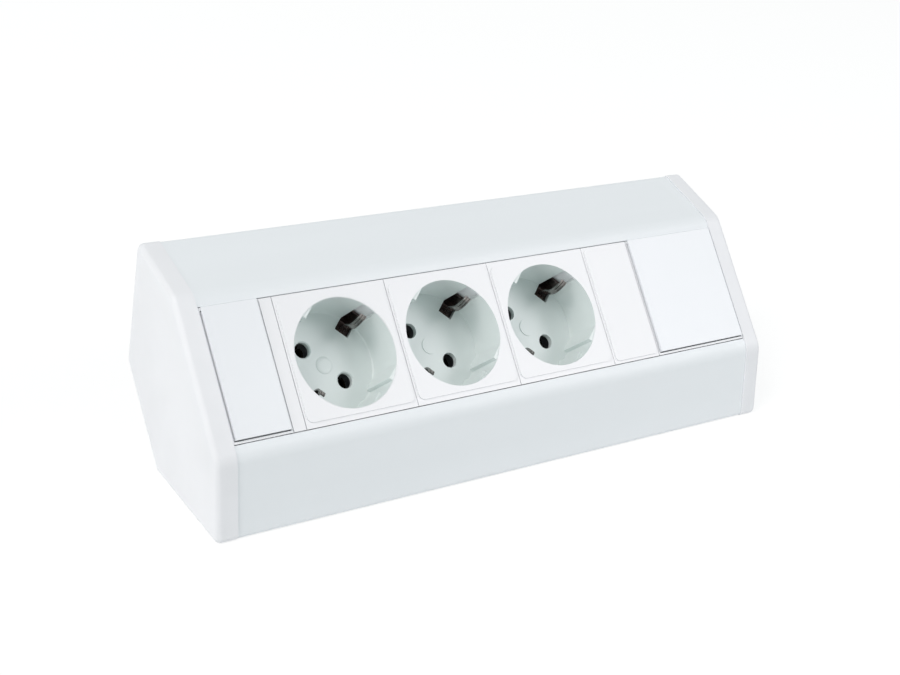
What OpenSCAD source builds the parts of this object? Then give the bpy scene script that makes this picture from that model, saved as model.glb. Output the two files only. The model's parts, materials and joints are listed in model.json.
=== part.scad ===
// Desk power strip with a sloping face: an extruded housing between two end caps,
// three earthed sockets, a blank module, a filler strip and two push keys.
// The face frame has X along the strip, Y up the sloping face and Z out of the face.

/* [Modules] */
// Width of one full module
module_w = 45; // [44.5:0.5:56]
// Height of every module face
module_h = 47; // [46.5:0.5:57]
// Width of the plain filler strip
filler_w = 5; // [3:0.5:20]
// Gap between a module face and whatever is beside it
seam = 0.15; // [0.05:0.05:0.3]
// Thickness of a module's face plate
plate_t = 2.4; // [2.2:0.1:4]
// Depth of the modules' main boxes behind the face
box_depth = 30; // [28:0.5:33]
// Depth of the narrower wiring ridge behind the face
ridge_depth = 43; // [41:0.5:45]
// Half height of the wiring ridge
ridge_half = 12.3; // [11.5:0.1:12.6]

/* [Housing] */
// Width of the flat face left between the opening and either soft bend
lip = 4.25; // [3.85:0.05:10.35]
// Length of the top panel and of the front panel
panel_len = 29.3; // [27.5:0.1:36]
// Angle between those panels and the face
panel_angle = 31.5; // [26:0.5:38]
// Width of the flat across the hidden back corner
back_flat = 41; // [38:0.5:44]
// Wall of the face, the top panel and the front panel
wall = 1.8; // [1.2:0.1:2.2]
// Wall of the bottom, which takes the fixing screws
bottom_wall = 2.6; // [1.6:0.1:3.2]
// Wall of the rear and of the back corner
rear_wall = 1.4; // [1.2:0.1:2.2]
// Outer radius of the two soft bends
bend_r = 9; // [3:0.5:9.5]
// Radius of the other long edges
corner_r = 2; // [1:0.5:3]
// Radius of the channels that take the end caps' pegs
channel_r = 2.1; // [1.5:0.1:2.5]
// Wall around each channel
channel_wall = 1.5; // [1:0.1:1.8]
// Distance along a panel from its bend to the nearer channel
channel_from_bend = 7; // [5:0.5:12]

/* [End caps] */
// Thickness of an end cap
cap_t = 8; // [6:0.5:12]
// How far a cap stands proud of the three seen panels
cap_proud = 0.4; // [0.1:0.1:1]
// Radius of a cap's outer edge
cap_edge_r = 2.2; // [1:0.1:3]
// Wall of a cap
cap_wall = 2.6; // [2:0.1:3.2]
// Length of a peg inside its channel
peg_len = 12; // [6:1:20]
// Clearance of a peg in its channel
peg_clear = 0.05; // [0.02:0.01:0.1]

/* [Socket recess] */
// Radius of the round recess
recess_r = 19.65; // [17:0.05:20.5]
// Depth of the recess from the raised face
recess_depth = 17.5; // [15:0.5:18.5]
// Wall of the recess
recess_wall = 1.5; // [1:0.1:1.8]
// Thickness of the recess floor
floor_t = 2; // [1.5:0.1:3]
// Distance between the two pin holes
pin_pitch = 19; // [17:0.5:21]
// Radius of a pin hole
pin_hole_r = 2.85; // [2.7:0.05:3.2]
// Height of the raised part of a module face
plateau_h = 0.45; // [0.2:0.05:0.8]
// Border beside the raised part
plateau_side = 1; // [0.6:0.1:2]
// Border above and below the raised part
plateau_end = 2; // [1:0.1:3]
// Corner radius of the raised part
plateau_r = 2.2; // [1:0.1:4]
// How far the flats of the guide lugs stand out of the recess wall
lug_h = 1.55; // [0.9:0.05:2.5]
// Distance from a lug's middle to its tall half
lug_tall_from = 1.65; // [1:0.05:3]
// Distance from a lug's middle to its low half
lug_low_from = 3.2; // [1.5:0.1:4.5]
// Depth of the low half's top below the module's face
lug_low = 3.3; // [1:0.1:8]
// Length of the floor hole in front of the wall, where an earth strap is seen
strap_hole = 5.25; // [4.8:0.05:6]
// Depth of the closed top of the groove behind an earth strap
groove_top = 0.35; // [0.3:0.05:1.5]

/* [Contacts and wires] */
// Width of the earth strap
strap_w = 5.4; // [5:0.1:6.5]
// Thickness of the earth strap
strap_t = 0.8; // [0.5:0.1:1.2]
// Gap beside the earth strap in its floor hole
strap_gap = 0.2; // [0.1:0.05:0.4]
// Depth of the upper end of the strap's wide part below the module's face
strap_top = 9.6; // [8:0.1:14]
// Width of the sprung tongue at either end of the earth strap
tongue_w = 2.4; // [1.8:0.1:4]
// How far a tongue bows inwards from the recess wall
tongue_bow = 5.05; // [4:0.05:6]
// Inner radius of a contact sleeve
sleeve_r = 2.65; // [2.6:0.05:2.9]
// Wall of a contact sleeve
sleeve_wall = 0.7; // [0.4:0.1:1]
// Depth of a contact sleeve's mouth below the recess
sleeve_in = 4.5; // [0.2:0.1:5]
// Width of the slits in a contact sleeve
sleeve_slit = 0.8; // [0.4:0.1:1.2]
// Radius of an insulated wire
wire_r = 1.3; // [0.9:0.1:1.5]
// Clearance of a wire in its passage
wire_clear = 0.1; // [0.05:0.05:0.3]
// Gap between metal pieces and the plastic that holds them
fit_gap = 0.1; // [0.05:0.05:0.15]

/* [Push keys] */
// How far a key stands proud of the face
key_proud = 1; // [0.5:0.1:1.5]
// Thickness of a key's plate
key_t = 2.2; // [1.6:0.1:2.6]
// Border beside a key
key_side = 1; // [0.9:0.1:1.6]
// Border below a key
key_below = 1.35; // [1.2:0.1:2]
// Gap between a key and its frame
key_gap = 0.4; // [0.3:0.05:0.5]
// Radius of a key's hinge pins
hinge_pin_r = 1.2; // [0.8:0.1:1.5]
// Running clearance of a hinge pin
hinge_clear = 0.05; // [0.02:0.01:0.1]
// Depth of the hinge line behind the face
hinge_w = 5.2; // [4.8:0.1:6]
// Distance of the hinge line from the key's upper end
hinge_in = 3; // [2.6:0.1:5]
// Travel of the plunger when a key is pressed home
plunger_travel = 1.3; // [0.8:0.1:2]
// Radius of the plunger's stem
stem_r = 1.9; // [1.5:0.1:2.2]
// Width of the switch mechanism under either key
switch_w = 18.5; // [18:0.5:19.5]
// Coil radius of the return spring, to the middle of its wire
spring_r = 2.8; // [2.4:0.1:3.2]
// Wire radius of the return spring
spring_wire_r = 0.35; // [0.25:0.05:0.45]

/* [Fixing and cable] */
// Radius of a fixing screw's hole
fix_hole_r = 2.25; // [1.5:0.05:3]
// Distance between the two fixing holes of a face
fix_pitch = 170; // [120:1:175]
// Radius of the cable's passage through its grommet
cable_r = 4.4; // [3:0.1:5]
// Wall of the grommet around the cable
grommet_wall = 2; // [1.5:0.1:2.5]

/* [Hidden] */
$fn = 64;
eps = 0.01;

half_w = module_w / 2;
housing_len = 5 * module_w + filler_w;
opening_h = module_h + 2 * seam;
half_h = module_h / 2;
face_w = opening_h + 2 * lip;

// Snap arms: how far they reach behind the lips, their hook's height, thickness and full depth
hook_reach = 1.2;
hook_t = 1;
arm_t = 1.8;
arm_depth = 7;

// Middles of the modules along X, from the left end of the opening
narrow_key_x = -housing_len / 2 + half_w / 2;
filler_x = -housing_len / 2 + half_w + filler_w / 2;
socket_x = [for (i = [0:2]) -housing_len / 2 + half_w + filler_w + (i + 0.5) * module_w];
blank_x = housing_len / 2 - module_w - half_w / 2;
wide_key_x = housing_len / 2 - half_w;

// Section of the housing in the face frame: six corners, anticlockwise from the upper bend
corner_u = face_w / 2 + panel_len * cos(panel_angle);
corner_w = -panel_len * sin(panel_angle);
reach = corner_u - corner_w;
back_w = back_flat / 2 - reach;
SECTION = [[face_w / 2, 0], [-face_w / 2, 0], [-corner_u, corner_w],
    [-back_flat / 2, back_w], [back_flat / 2, back_w], [corner_u, corner_w]];
SECTION_R = [bend_r, bend_r, corner_r, 3, 3, corner_r];
// Its edges in the same order: face, front, bottom, back corner, rear, top
SEEN_EDGES = [1, 1, 0, 0, 0, 1];
WALLS = [wall, wall, bottom_wall, rear_wall, rear_wall, wall];
FRONT_CORNER = 2;
channel_in = channel_r + 0.6;

// Place of the face's middle, which puts the origin under the middle of the whole part
front_c = moved_edges(cap_section(0), [for (i = [0:5]) -corner_r])[FRONT_CORNER];
face_z = reach / sqrt(2);
face_y = -(reach / sqrt(2) + (front_c[0] - front_c[1]) / sqrt(2) - corner_r) / 2;

tub_r = recess_r + recess_wall;
tub_depth = recess_depth + floor_t - plateau_h;
floor_w = plateau_h - recess_depth;
base_top = tub_depth + fit_gap;
base_half = 20.3;
base_wall = 1.6;
pin_off = pin_pitch / 2 / sqrt(2);
socket_ridge_w = 2 * (pin_off + sleeve_r + sleeve_wall + fit_gap + 1.5);
screw_u = ridge_half + 3;
screw_r = 1.45;
boss_r = 2.9;
boss_h = 6;
screw_head = [2.6, 2];
screw_slot = [0.8, 1.1];
wire_w = -ridge_depth + 2.6;
wire_top = wire_w + wire_r;

// Earth strap: its floor hole, and the places where a tongue starts, bows in and ends
hole_from = recess_r - strap_hole;
hole_w = strap_w + 2 * strap_gap;
strap_foot = recess_r - 2.85;
strap_end = recess_r + 0.2 + strap_t;
tongue_low = floor_w + 0.8;
bow_r = recess_r - tongue_bow;
bow_w = 0.45 * floor_w;
tongue_end = [recess_r - 3.3, -2.9];
tongue_tip = [recess_r - 2.2, -2.4];

frame_depth = 9;
rim = key_side - key_gap - seam;
hinge_u = half_h - hinge_in;
plunger_u = -8;
head_w = -frame_depth - 0.15;
guide_top = -13;
guide_t = 1.5;
bridge_w = -21;
bridge_t = 1;
body_floor_w = -box_depth + 2;

// Contacts of a switch: distance from its middle, pad radius and blade section
contact_x = 5.8;
contact_r = 1.2;
contact_t = 0.4;
blade = [1.2, 3];

// Terminal block: its width, clamp places, clamp hole and clamp screw
block_w = 16;
clamp_x = 4;
clamp_hole_r = 1.6;
clamp_screw_r = 1.5;
block_top = wire_w + 6;

grommet_r = cable_r + grommet_wall;
grommet_flange = 1.3;
cable_x = housing_len / 2 - grommet_r - 1.8;

// ---------- outlines ----------

// Outward unit normal of the edge that starts at corner i of an anticlockwise outline
function edge_normal(p, i) =
    let (e = p[(i + 1) % len(p)] - p[i]) [e[1], -e[0]] / norm(e);

// The outline with every edge moved outwards by its own distance
function moved_edges(p, d) = [for (i = [0:len(p) - 1])
    let (k = (i + len(p) - 1) % len(p), a = edge_normal(p, k), b = edge_normal(p, i), c = a * b)
    p[i] + ((d[k] - c * d[i]) * a + (d[i] - c * d[k]) * b) / (1 - c * c)];

// The outline with an arc of its own radius at every corner
function rounded(p, r, steps = 9) = [for (i = [0:len(p) - 1])
    let (k = (i + len(p) - 1) % len(p), a = edge_normal(p, k), b = edge_normal(p, i),
        middle = p[i] - r[i] * (a + b) / (1 + a * b),
        from = atan2(a[1], a[0]), turn = acos(a * b))
    for (s = [0:steps]) middle + r[i] * [cos(from + turn * s / steps), sin(from + turn * s / steps)]];

function grown(p, d) = moved_edges(p, [for (q = p) d]);
function less(r, d) = [for (q = r) max(q - d, 0.3)];

// Section of a cap, proud on its seen sides, and drawn in by some distance
function cap_section(d) = grown(moved_edges(SECTION, SEEN_EDGES * cap_proud), -d);

// ---------- shared shapes ----------

module in_face_frame() {
    translate([0, face_y, face_z]) rotate([45, 0, 0]) children();
}

// Extrudes a section drawn as (up the face, out of the face) along X, about its middle
module along_x(length) {
    rotate([90, 0, 90]) translate([0, 0, -length / 2]) linear_extrude(length) children();
}

// Extrudes a section drawn in the same way from one place along X to another
module along_x_from(low, high) {
    rotate([90, 0, 90]) translate([0, 0, low]) linear_extrude(high - low) children();
}

// Box centred in X and Y, from one height to another
module slab(size, low, high) {
    translate([-size[0] / 2, -size[1] / 2, low]) cube([size[0], size[1], high - low]);
}

// Box centred in Y only, from one X to another and from one height to another
module slab_from(left, right, width, low, high) {
    translate([left, -width / 2, low]) cube([right - left, width, high - low]);
}

module rounded_plate(size, r, low, high) {
    translate([0, 0, low]) linear_extrude(high - low) {
        square([size[0] - 2 * r, size[1]], center = true);
        square([size[0], size[1] - 2 * r], center = true);
        for (x = [-1, 1], y = [-1, 1])
            translate([x * (size[0] / 2 - r), y * (size[1] / 2 - r)]) circle(r);
    }
}

module post(r, low, high) {
    translate([0, 0, low]) cylinder(h = high - low, r = r);
}

// The face plate of a module with the snap arms that hook behind the housing's lips
module module_plate(width, arm_w) {
    slab([width - 2 * seam, module_h], -plate_t, 0);
    for (side = [-1, 1]) along_x(arm_w) mirror([side < 0 ? 1 : 0, 0]) polygon([
        [half_h - arm_t, eps - plate_t], [half_h, eps - plate_t], [half_h, -wall - fit_gap],
        [half_h + hook_reach, -wall - fit_gap], [half_h + hook_reach, -wall - hook_t],
        [half_h, -arm_depth], [half_h - arm_t, -arm_depth]]);
}

// Narrow ridge at the back of a module that the three wires pass through
module wiring_ridge(width) {
    slab([width, 2 * ridge_half], -ridge_depth, -box_depth + eps);
}

module wire_passages(width) {
    for (u = [-pin_off, 0, pin_off]) translate([0, u, wire_w]) rotate([0, 90, 0])
        cylinder(h = width, r = wire_r + wire_clear, center = true);
}

// ---------- housing ----------

// Two channels in the outer corners and one under each bend, clear of the modules' hooks
module channel_places() {
    places = moved_edges(SECTION, [for (t = WALLS) -t - channel_in]);
    along = [cos(panel_angle), -sin(panel_angle)] * channel_from_bend;
    for (side = [-1, 1]) translate([side * (places[0][0] + along[0]), places[0][1] + along[1]]) children();
    for (i = [2, 5]) translate(places[i]) children();
}

module housing_section() {
    difference() {
        union() {
            difference() {
                polygon(rounded(SECTION, SECTION_R));
                polygon(rounded(moved_edges(SECTION, -WALLS), less(SECTION_R, wall)));
            }
            channel_places() circle(channel_r + channel_wall);
            for (i = [2, 5]) translate(moved_edges(SECTION, [for (t = WALLS) -t - 0.8])[i]) circle(1.4);
        }
        channel_places() circle(channel_r);
        translate([-opening_h / 2, -wall - 1]) square([opening_h, wall + 2]);
    }
}

module housing_profile() color("whitesmoke") difference() {
    in_face_frame() difference() {
        along_x(housing_len) housing_section();
        translate([cable_x, 0, back_w - 1]) cylinder(h = rear_wall + 2, r = grommet_r);
    }
    for (x = [-fix_pitch / 2, fix_pitch / 2]) {
        translate([x, bottom_fix_y(), -1]) cylinder(h = bottom_wall + 2, r = fix_hole_r);
        translate([x, face_y + face_z + 1, rear_fix_z()]) rotate([90, 0, 0])
            cylinder(h = rear_wall + 2, r = fix_hole_r);
    }
}

// Middles of the flat bottom and of the flat rear
function bottom_fix_y() = face_y - (corner_u + corner_w + back_flat / 2 + back_w) / 2 / sqrt(2);
function rear_fix_z() = face_z + (corner_u + corner_w + back_flat / 2 + back_w) / 2 / sqrt(2);

module end_cap() {
    edge = [for (a = [0:15:90]) [cap_edge_r * (1 - cos(a)), cap_edge_r * (1 - sin(a))]];
    difference() {
        hull() {
            along_x_from(0, cap_t - cap_edge_r) polygon(rounded(cap_section(0), SECTION_R));
            for (e = edge) along_x_from(0, cap_t - e[1])
                polygon(rounded(cap_section(e[0]), less(SECTION_R, e[0] / 2)));
        }
        along_x_from(-1, cap_t - cap_wall)
            polygon(rounded(cap_section(cap_wall), less(SECTION_R, cap_wall / 2)));
    }
    intersection() {
        along_x_from(0, cap_t - cap_wall + eps) channel_places() circle(channel_r + channel_wall);
        along_x_from(0, cap_t) polygon(cap_section(0.5));
    }
    along_x_from(-peg_len, 1) channel_places() circle(channel_r - peg_clear);
}

module right_end_cap() color("white") in_face_frame() translate([housing_len / 2, 0, 0]) end_cap();
module left_end_cap() color("white") in_face_frame() mirror([1, 0, 0])
    translate([housing_len / 2, 0, 0]) end_cap();

module cable_grommet() color("dimgray") in_face_frame() translate([cable_x, 0, 0]) difference() {
    union() {
        post(grommet_r + grommet_flange, back_w - grommet_flange, back_w - fit_gap);
        post(grommet_r - 0.05, back_w - 1, back_w + rear_wall + 1);
        post(grommet_r + grommet_flange, back_w + rear_wall + fit_gap, back_w + rear_wall + grommet_flange);
    }
    post(cable_r, back_w - 3, back_w + rear_wall + 3);
}

// ---------- sockets ----------

// The recess, the earth strap's floor holes and grooves, and the two pin holes
module tub_cuts() {
    post(recess_r, floor_w, 2);
    for (a = [45, 225]) rotate([0, 0, a]) {
        slab_from(hole_from, tub_r, hole_w, -tub_depth - 1, -groove_top);
    }
    for (a = [135, 315]) rotate([0, 0, a])
        translate([pin_pitch / 2, 0, -tub_depth - 1]) cylinder(h = floor_t + 2, r = pin_hole_r);
}

// Flat guide lug on the recess wall: a tall and a low half with a groove between them
module guide_lug() {
    intersection() {
        post(recess_r + eps, floor_w - eps, 0);
        union() {
            translate([recess_r - lug_h, lug_tall_from, floor_w - eps])
                cube([lug_h + 1, recess_r, -floor_w + eps]);
            translate([recess_r - lug_h, -lug_low_from - recess_r, floor_w - eps])
                cube([lug_h + 1, recess_r, -floor_w - lug_low + eps]);
        }
    }
}

module socket_face(i) color("white") in_face_frame() translate([socket_x[i], 0, 0]) {
    difference() {
        union() {
            module_plate(module_w, 14);
            rounded_plate([module_w - 2 * plateau_side, module_h - 2 * plateau_end], plateau_r,
                -eps, plateau_h);
            post(tub_r, -tub_depth, -eps);
            for (a = [45, 225]) rotate([0, 0, a]) translate([recess_r, -hole_w / 2 - 1.2, -tub_depth])
                cube([recess_wall + 1.3, hole_w + 2.4, tub_depth - eps]);
            for (u = [-screw_u, screw_u])
                translate([0, u, 0]) post(boss_r, -tub_depth - boss_h, -tub_depth + eps);
        }
        tub_cuts();
        for (u = [-screw_u, screw_u])
            translate([0, u, 0]) post(screw_r + 0.05, -tub_depth - boss_h - 1, -tub_depth);
    }
    for (side = [0, 1]) mirror([side, -side, 0]) rotate([0, 0, 315]) guide_lug();
    post(3.2, floor_w - eps, floor_w + 0.25);
}

module socket_base(i) color("gainsboro") in_face_frame() translate([socket_x[i], 0, 0])
    difference() {
        union() {
            rounded_plate([2 * base_half, 2 * base_half], 4, -box_depth, -base_top);
            wiring_ridge(socket_ridge_w);
        }
        rounded_plate([2 * (base_half - base_wall), 2 * (base_half - base_wall)], 3,
            -box_depth + 2, -base_top + 1);
        for (a = [135, 315]) rotate([0, 0, a]) translate([pin_pitch / 2, 0, 0])
            post(sleeve_r + sleeve_wall + fit_gap, wire_w, -20);
        post(2, wire_w, -20);
        wire_passages(2 * base_half + 2);
        for (u = [-screw_u, screw_u]) translate([0, u, 0]) post(screw_r + 0.15, -box_depth - 1, -20);
    }

// Outline of a thin strip that follows a line
function ribbon(line, t) = let (n = len(line) - 1, sides = [for (i = [0:n])
    let (d = line[min(i + 1, n)] - line[max(i - 1, 0)]) [-d[1], d[0]] / norm(d) * t / 2])
    concat([for (i = [0:n]) line[i] + sides[i]], [for (i = [n:-1:0]) line[i] - sides[i]]);

// Middle line of a tongue, as (distance from the middle, height): it bows in and turns out again
function tongue_line(steps = 6) = concat(
    [[strap_foot, -base_top - strap_t / 2]],
    [for (k = [0:steps]) [strap_foot + (bow_r - strap_foot) * (1 - cos(180 * k / steps)) / 2,
        tongue_low + (bow_w - tongue_low) * k / steps]],
    [for (k = [1:steps]) [bow_r + (tongue_end[0] - bow_r) * (1 - cos(90 * k / steps)),
        bow_w + (tongue_end[1] - bow_w) * k / steps]],
    [tongue_tip]);

module earth_strap(i) color("dimgray") in_face_frame() translate([socket_x[i], 0, 0]) {
    for (a = [45, 225]) rotate([0, 0, a]) {
        slab_from(-eps, strap_end, strap_w, -base_top - strap_t, -base_top);
        slab_from(strap_end - strap_t, strap_end, strap_w, -base_top - eps, -strap_top);
        rotate([90, 0, 0]) translate([0, 0, -tongue_w / 2]) linear_extrude(tongue_w)
            polygon(ribbon(tongue_line(), strap_t));
    }
    post(1.7, wire_top + 0.15, -base_top - eps);
}

module contacts(i) color("goldenrod") in_face_frame() translate([socket_x[i], 0, 0])
    for (a = [135, 315]) rotate([0, 0, a]) translate([pin_pitch / 2, 0, 0]) {
        difference() {
            post(sleeve_r + sleeve_wall, wire_top + 0.4, -base_top - sleeve_in);
            post(sleeve_r, wire_top + 1.2, 0);
            for (turn = [0, 90]) rotate([0, 0, turn])
                slab([3 * sleeve_r + 2 * sleeve_wall, sleeve_slit], -box_depth - 1, 0);
        }
        post(1.5, wire_top + 0.15, wire_top + 0.5);
    }

module pan_screw(shank) {
    difference() {
        post(screw_head[0], -screw_head[1], 0);
        slab([3 * screw_head[0], screw_slot[0]], -screw_head[1] - 1, screw_slot[1] - screw_head[1]);
    }
    post(screw_r, -eps, shank);
}

module socket_screws(i) color("silver") in_face_frame() translate([socket_x[i], 0, 0])
    for (u = [-screw_u, screw_u]) translate([0, u, -box_depth]) pan_screw(box_depth - tub_depth - 0.6);

// ---------- blank module and filler ----------

module blank_module() color("white") in_face_frame() translate([blank_x, 0, 0]) {
    module_plate(half_w, 12);
    rounded_plate([half_w - 2 * plateau_side, module_h - 2.4], 1.5, -eps, plateau_h);
    for (x = [-1, 1]) translate([x * (half_w / 2 - 2.5), 0, 0])
        slab([1.4, module_h - 3.6], -arm_depth, -plate_t + eps);
}

module filler_strip() color("white") in_face_frame() translate([filler_x, 0, 0])
    module_plate(filler_w, filler_w - 2 * seam);

// ---------- push keys ----------

// Distance from a key's middle to the closed end of its hinge bores
function hinge_bore_end(width) = width / 2 - key_side + 0.25;

// The raised plate, its side cheeks with the hinge pins and the finger that meets the plunger
module key(x, width) in_face_frame() translate([x, 0, 0]) {
    plate_w = width - 2 * key_side;
    top_wall = 1.2;
    low = -half_h + key_below;
    along_x(plate_w) polygon([[low, key_proud - key_t], [half_h - top_wall - 0.3, key_proud - key_t],
        [half_h - top_wall - 0.3, 0.12], [half_h - 0.1, 0.12], [half_h - 0.1, key_proud],
        [low, key_proud]]);
    cheek_x = width / 2 - key_side - 2.2;
    pin_len = hinge_bore_end(width) - 0.25 - cheek_x;
    for (side = [-1, 1]) {
        translate([side * cheek_x, 0, 0]) along_x(1.6) hull() {
            translate([hinge_u, -hinge_w]) circle(hinge_pin_r + 0.7, $fn = 32);
            translate([hinge_u - 2.5, key_proud - key_t]) square([4, eps]);
        }
        translate([side * cheek_x, hinge_u, -hinge_w]) rotate([0, side * 90, 0])
            cylinder(h = pin_len, r = hinge_pin_r);
    }
    translate([0, plunger_u, 0]) post(2, head_w + 0.15, key_proud - key_t + eps);
}

module key_frame(x, width) in_face_frame() translate([x, 0, 0]) difference() {
    union() {
        module_plate(width, min(width - 6, 14));
        slab([width - 2 * seam, module_h - 2.4], -frame_depth, -plate_t + eps);
    }
    low = -half_h + key_below - key_gap;
    high = half_h - 1.2;
    translate([-(width / 2 - seam - rim), low, -3.8]) cube([width - 2 * seam - 2 * rim, high - low, 9]);
    translate([-(width / 2 - key_side - 1.1), low + 1.6, -frame_depth - 1])
        cube([width - 2 * key_side - 2.2, high - low - 1.6, 12]);
    translate([0, hinge_u, -hinge_w]) rotate([0, 90, 0])
        cylinder(h = 2 * hinge_bore_end(width), r = hinge_pin_r + hinge_clear, center = true);
}

module plunger(x) in_face_frame() translate([x, plunger_u, 0]) {
    post(3.2, head_w - 1.2, head_w);
    post(stem_r, bridge_w, head_w - 1);
    post(2.9, guide_top - guide_t - 1.2, guide_top - guide_t - 0.1);
}

module contact_bridge(x) color("goldenrod") in_face_frame() translate([x, plunger_u, 0]) {
    slab([2 * (contact_x + contact_r), 5], bridge_w - bridge_t, bridge_w);
    for (side = [-1, 1]) translate([side * contact_x, 0, 0])
        post(contact_r, bridge_w - bridge_t - contact_t, bridge_w - bridge_t + eps);
}

module switch_body(x) color("gainsboro") in_face_frame() translate([x, 0, 0]) {
    outer = [switch_w, 2 * base_half];
    difference() {
        union() {
            slab(outer, -box_depth, -frame_depth - fit_gap);
            wiring_ridge(switch_w);
        }
        slab([outer[0] - 3.2, outer[1] - 3.2], guide_top, 0);
        slab([outer[0] - 3.2, outer[1] - 3.2], body_floor_w, guide_top - guide_t);
        translate([0, plunger_u, 0]) post(stem_r + 0.08, guide_top - guide_t - 1, guide_top + 1);
        for (side = [-1, 1]) translate([side * contact_x, plunger_u, 0])
            slab([blade[0] + 2 * fit_gap, blade[1] + 2 * fit_gap], -box_depth - 4, body_floor_w + 1);
        wire_passages(switch_w + 2);
    }
}

module switch_contacts(x) color("goldenrod") in_face_frame() translate([x, plunger_u, 0])
    for (side = [-1, 1]) translate([side * contact_x, 0, 0]) {
        slab(blade, -box_depth - 4 + fit_gap, contact_top() - contact_t);
        post(contact_r, contact_top() - contact_t - 0.1, contact_top());
    }

// Height of the fixed contacts: the bridge stops just short of them
function contact_top() = bridge_w - bridge_t - contact_t - plunger_travel - 0.1;

// A round wire wound as a spring, swept ring by ring along its helix
module coil_spring(radius, wire, low, high, turns) {
    per_turn = 16;
    sides = 8;
    rings = turns * per_turn;
    rise = (high - low - 2 * wire) / rings;
    points = [for (k = [0:rings], s = [0:sides - 1])
        let (a = 360 * k / per_turn, b = 360 * s / sides, r = radius + wire * cos(b))
        [r * cos(a), r * sin(a), low + wire + rise * k + wire * sin(b)]];
    faces = concat([[for (s = [0:sides - 1]) s]], [[for (s = [sides - 1:-1:0]) rings * sides + s]],
        [for (k = [0:rings - 1], s = [0:sides - 1])
            let (p = k * sides + s, q = k * sides + (s + 1) % sides) [q, p, p + sides]],
        [for (k = [0:rings - 1], s = [0:sides - 1])
            let (p = k * sides + s, q = k * sides + (s + 1) % sides) [q, p + sides, q + sides]]);
    polyhedron(points = points, faces = faces);
}

module return_spring(x) color("silver") in_face_frame() translate([x, plunger_u, 0])
    coil_spring(spring_r, spring_wire_r, body_floor_w + 0.05, bridge_w - bridge_t - 0.05, 5);

module narrow_key() color("white") key(narrow_key_x, half_w);
module wide_key() color("white") key(wide_key_x, module_w);
module narrow_key_frame() color("white") key_frame(narrow_key_x, half_w);
module wide_key_frame() color("white") key_frame(wide_key_x, module_w);

// ---------- terminal block and wires ----------

module terminal_block() color("beige") in_face_frame() translate([blank_x, 0, 0]) difference() {
    slab([block_w, 2 * ridge_half], back_w + rear_wall + fit_gap, block_top);
    wire_passages(block_w + 4);
    for (u = [-pin_off, 0, pin_off], x = [-clamp_x, clamp_x])
        translate([x, u, 0]) post(clamp_hole_r, wire_w, block_top + 1);
}

module terminal_screws() color("silver") in_face_frame() translate([blank_x, 0, 0])
    for (u = [-pin_off, 0, pin_off], x = [-clamp_x, clamp_x]) translate([x, u, 0]) difference() {
        post(clamp_screw_r, wire_top + 0.05, block_top - 0.8);
        slab([3 * clamp_screw_r, 0.6], block_top - 1.6, block_top + 1);
    }

// A straight insulated wire from the narrow key's module to the wide key's module
module wire(u) in_face_frame() translate([0, u, wire_w]) rotate([0, 90, 0]) translate([0, 0, narrow_key_x])
    cylinder(h = wide_key_x - narrow_key_x, r = wire_r);

module line_wire() color("saddlebrown") wire(pin_off);
module neutral_wire() color("steelblue") wire(-pin_off);
module earth_wire() color("yellowgreen") wire(0);

housing_profile();
left_end_cap();
right_end_cap();
cable_grommet();
socket_face(0);  // socket_1_face
socket_face(1);  // socket_2_face
socket_face(2);  // socket_3_face
socket_base(0);  // socket_1_base
socket_base(1);  // socket_2_base
socket_base(2);  // socket_3_base
earth_strap(0);  // socket_1_earth_strap
earth_strap(1);  // socket_2_earth_strap
earth_strap(2);  // socket_3_earth_strap
contacts(0);  // socket_1_contacts
contacts(1);  // socket_2_contacts
contacts(2);  // socket_3_contacts
socket_screws(0);  // socket_1_screws
socket_screws(1);  // socket_2_screws
socket_screws(2);  // socket_3_screws
blank_module();
filler_strip();
narrow_key();
narrow_key_frame();
color("white") plunger(narrow_key_x);  // narrow_plunger
contact_bridge(narrow_key_x);  // narrow_contact_bridge
return_spring(narrow_key_x);  // narrow_return_spring
switch_body(narrow_key_x);  // narrow_switch_body
switch_contacts(narrow_key_x);  // narrow_switch_contacts
wide_key();
wide_key_frame();
color("white") plunger(wide_key_x);  // wide_plunger
contact_bridge(wide_key_x);  // wide_contact_bridge
return_spring(wide_key_x);  // wide_return_spring
switch_body(wide_key_x);  // wide_switch_body
switch_contacts(wide_key_x);  // wide_switch_contacts
terminal_block();
terminal_screws();
line_wire();
neutral_wire();
earth_wire();
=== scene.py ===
"""Desk power strip with a sloping face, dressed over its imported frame."""

import json
import logging
import math
from dataclasses import dataclass, field
from enum import Enum
from typing import Iterable, Sequence

import bmesh
import bpy
from mathutils import Matrix, Vector

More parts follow.
